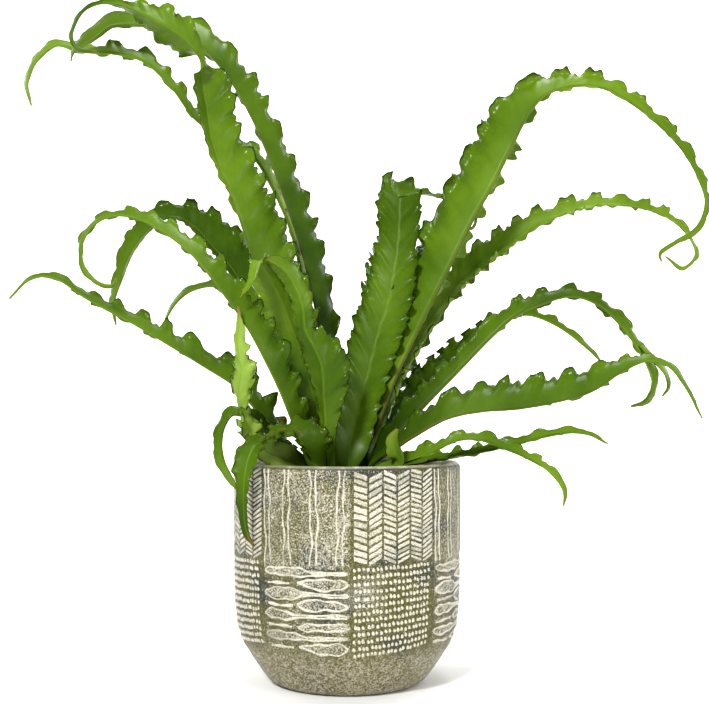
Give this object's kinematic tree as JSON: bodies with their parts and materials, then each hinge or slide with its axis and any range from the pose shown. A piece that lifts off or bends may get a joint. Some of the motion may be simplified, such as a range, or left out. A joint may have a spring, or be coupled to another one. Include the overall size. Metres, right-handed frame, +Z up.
{
  "type": "potted bird's nest fern",
  "caption": "Bird's nest fern with long arching fronds and waved margins, rooted in soil in a round patterned ceramic pot that rests on its flat base.",
  "frame": {"origin": "centre of the pot's flat base, on the surface that the pot stands on", "axes": "+Z up along the pot's axis, -Y towards the front, +X to the right as seen from the front"},
  "size_m": [0.4484, 0.2667, 0.4384],
  "materials": {
    "pot_glaze": "speckled cream and olive glaze with raised cream strokes and dots, satin",
    "potting_soil": null,
    "crown_fibre": "brown fibrous rhizome, matte",
    "frond": null
  },
  "bodies": {
    "root": {"pot": "pot_glaze", "soil": "potting_soil", "crown": "crown_fibre", "frond_left_tall": "frond", "frond_left_far": "frond", "frond_left_broad": "frond", "frond_left_lobed": "frond", "frond_left_spiral": "frond", "frond_left_low": "frond", "frond_left_thin": "frond", "frond_front_broad": "frond", "frond_front_second": "frond", "frond_front_twisted": "frond", "frond_front_hanging": "frond", "frond_side_arched": "frond", "frond_centre_broad": "frond", "frond_right_tall": "frond", "frond_right_second": "frond", "frond_right_arched": "frond", "frond_right_low": "frond", "frond_right_back": "frond", "frond_front_right": "frond", "frond_front_right_low": "frond", "frond_front_small": "frond", "frond_back_middle": "frond", "frond_back_left": "frond", "frond_back_right": "frond"}
  },
  "joints": []
}
